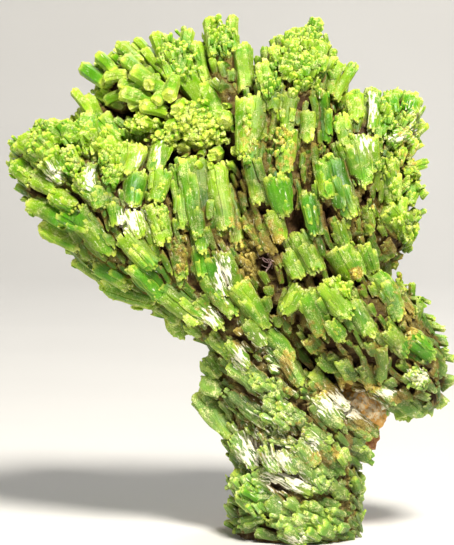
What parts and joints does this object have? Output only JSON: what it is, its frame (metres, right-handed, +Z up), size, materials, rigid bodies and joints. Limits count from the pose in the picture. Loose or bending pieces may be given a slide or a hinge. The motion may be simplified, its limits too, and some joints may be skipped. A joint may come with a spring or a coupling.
{
  "type": "pyromorphite specimen",
  "caption": "Branching cluster of green hexagonal crystals, narrow at the foot and spreading into a fan, on a lump of rust-stained matrix, standing on its flat broken base.",
  "frame": {"origin": "middle of the flat base that the specimen stands on", "axes": "+Z up, -Y towards the display face, +X to the right as the display face is looked at"},
  "size_m": [0.0443, 0.0233, 0.0524],
  "materials": {
    "pyromorphite": "resinous to glassy yellow-green crystals with fine lengthwise striations, paler at their ends",
    "iron_stained_rock": "dull earthy rust brown with cream patches"
  },
  "bodies": {
    "root": {"crystal_cluster": "pyromorphite", "rusty_matrix": "iron_stained_rock"}
  },
  "joints": []
}
